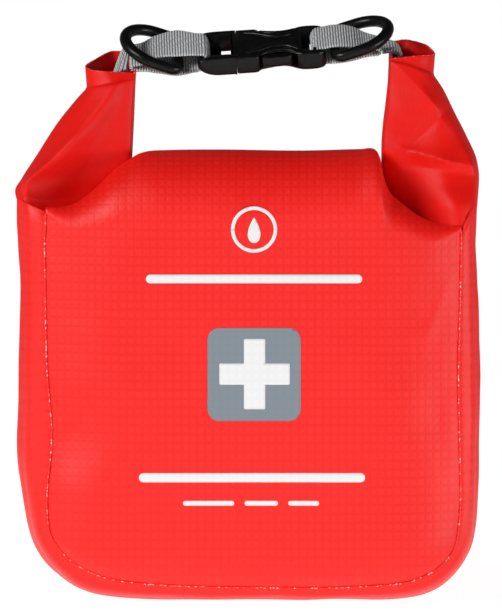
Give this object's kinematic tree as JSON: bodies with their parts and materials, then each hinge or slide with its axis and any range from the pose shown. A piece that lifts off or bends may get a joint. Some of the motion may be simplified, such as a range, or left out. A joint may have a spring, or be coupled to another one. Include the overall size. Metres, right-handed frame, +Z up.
{
  "type": "first aid kit",
  "caption": "Waterproof first aid kit: a welded roll-top dry bag with a buckled webbing handle and two D-rings, standing upright with its dressings, tools and leaflet inside.",
  "frame": {"origin": "middle of the flat bottom that the bag stands on", "axes": "+Z up, -Y the printed front, +X to the right as seen from the front"},
  "size_m": [0.1824, 0.07, 0.2296],
  "materials": {
    "tarpaulin": "satin coated ripstop tarpaulin, red",
    "stiffener": "matt black strip",
    "webbing": "ribbed grey webbing",
    "black_acetal": "moulded black, fine matt",
    "crepe": "crepe weave",
    "tape": "matt tape",
    "card": "plain card",
    "packet_white": "satin packet",
    "packet_green": "satin packet",
    "packet_blue": "satin packet",
    "foil": "crinkled metallised film",
    "leaflet": "uncoated paper",
    "steel": "brushed",
    "print_white": "screen print, white",
    "print_grey": "screen print, grey"
  },
  "bodies": {
    "bag": {"front_panel": "tarpaulin", "back_panel": "tarpaulin", "gusset": "tarpaulin", "rolled_mouth": "tarpaulin", "rim_strip_middle": "stiffener", "crepe_bandage_left": "crepe", "crepe_bandage_right": "crepe", "tape_roll": "tape", "tape_core": "card", "triangular_bandage": "packet_white", "large_dressing": "packet_green", "medium_dressing": "packet_green", "plaster_box": "packet_white", "foil_blanket": "foil", "glove_packet": "packet_blue", "wipes_packet": "packet_white", "first_aid_guide": "leaflet", "face_shield_packet": "packet_blue", "gauze_packet": "packet_white", "safety_pin_card": "card", "scissor_blade_fixed": "steel", "scissor_rivet": "steel"},
    "scissor_blade": {"scissor_blade_moving": "steel"},
    "tweezer_left": {"tweezer_arm_left": "steel"},
    "tweezer_right": {"tweezer_arm_right": "steel"},
    "left_ear": {"left_ear": "tarpaulin", "left_roll_end": "tarpaulin", "left_rim_strip_end": "stiffener"},
    "right_ear": {"right_ear": "tarpaulin", "right_roll_end": "tarpaulin", "right_rim_strip_end": "stiffener"},
    "left_tail": {"left_strap_tail": "webbing"},
    "right_tail": {"right_strap_tail": "webbing"},
    "left_strap": {"left_webbing_loop": "webbing", "buckle_male": "black_acetal"},
    "right_strap": {"right_webbing_loop": "webbing", "buckle_female": "black_acetal"},
    "left_ring": {"left_d_ring": "black_acetal"},
    "right_ring": {"right_d_ring": "black_acetal"},
    "latch_front": {"latch_arm_front": "black_acetal"},
    "latch_back": {"latch_arm_back": "black_acetal"}
  },
  "joints": [
    {"name": "left_ear_swing", "type": "hinge", "parent": "bag", "child": "left_ear", "pos_m": [-0.056, 0.006, 0.1726], "axis": [0, -1, 0], "range_deg": [0, 30], "deforming": ["left_ear", "latch_arm_front", "latch_arm_back"]},
    {"name": "left_strap_level", "type": "hinge", "parent": "left_ear", "child": "left_tail", "pos_m": [-0.04989, 0.006, 0.21259], "axis": [0, -1, 0], "range_deg": [-30, 0]},
    {"name": "left_strap_lean", "type": "hinge", "parent": "left_tail", "child": "left_strap", "pos_m": [-0.04989, 0.006, 0.21259], "axis": [0.9978, 0, 0.0663], "range_deg": [-40, 40], "stiffness_Nm_per_rad": 0.02, "deforming": ["left_strap_tail"]},
    {"name": "left_d_ring_swing", "type": "hinge", "parent": "left_strap", "child": "left_ring", "pos_m": [-0.02794, 0.006, 0.21404], "axis": [-0.027, 0.9135, 0.4058], "range_deg": [0, 110]},
    {"name": "latch_front_press", "type": "hinge", "parent": "left_strap", "child": "latch_front", "pos_m": [-0.00472, 0.00015, 0.21298], "axis": [-0.0605, -0.4067, 0.9115], "range_deg": [0, 10], "stiffness_Nm_per_rad": 0.05},
    {"name": "latch_back_press", "type": "hinge", "parent": "left_strap", "child": "latch_back", "pos_m": [-0.00506, 0.01185, 0.21817], "axis": [0.0605, 0.4067, -0.9115], "range_deg": [0, 10], "stiffness_Nm_per_rad": 0.05},
    {"name": "right_ear_swing", "type": "hinge", "parent": "bag", "child": "right_ear", "pos_m": [0.065, 0.006, 0.1796], "axis": [0, 1, 0], "range_deg": [0, 30], "deforming": ["right_ear"]},
    {"name": "right_strap_level", "type": "hinge", "parent": "right_ear", "child": "right_tail", "pos_m": [0.05488, 0.006, 0.21954], "axis": [0, 1, 0], "range_deg": [-30, 0]},
    {"name": "right_strap_lean", "type": "hinge", "parent": "right_tail", "child": "right_strap", "pos_m": [0.05488, 0.006, 0.21954], "axis": [0.9978, 0, 0.0663], "range_deg": [-40, 40], "deforming": ["right_strap_tail"]},
    {"name": "right_d_ring_swing", "type": "hinge", "parent": "right_strap", "child": "right_ring", "pos_m": [0.03422, 0.006, 0.21817], "axis": [0.027, -0.9135, -0.4058], "range_deg": [0, 85]},
    {"name": "scissor_open", "type": "hinge", "parent": "bag", "child": "scissor_blade", "pos_m": [-0.018, 0.0265, 0.084], "axis": [0, 1, 0], "range_deg": [0, 35]},
    {"name": "tweezer_squeeze", "type": "hinge", "parent": "bag", "child": "tweezer_left", "pos_m": [0.0417, 0.026, 0.118], "axis": [0, -1, 0], "range_deg": [0, 4.5], "stiffness_Nm_per_rad": 0.05},
    {"name": "tweezer_squeeze_right", "type": "hinge", "parent": "bag", "child": "tweezer_right", "pos_m": [0.0423, 0.026, 0.118], "axis": [0, 1, 0], "range_deg": [0, 4.5]}
  ],
  "couplings": [
    {"joint": "left_strap_level", "follows": "left_ear_swing", "ratio": -1},
    {"joint": "right_strap_level", "follows": "right_ear_swing", "ratio": -1},
    {"joint": "right_strap_lean", "follows": "left_strap_lean", "ratio": 1},
    {"joint": "tweezer_squeeze_right", "follows": "tweezer_squeeze", "ratio": 1}
  ]
}
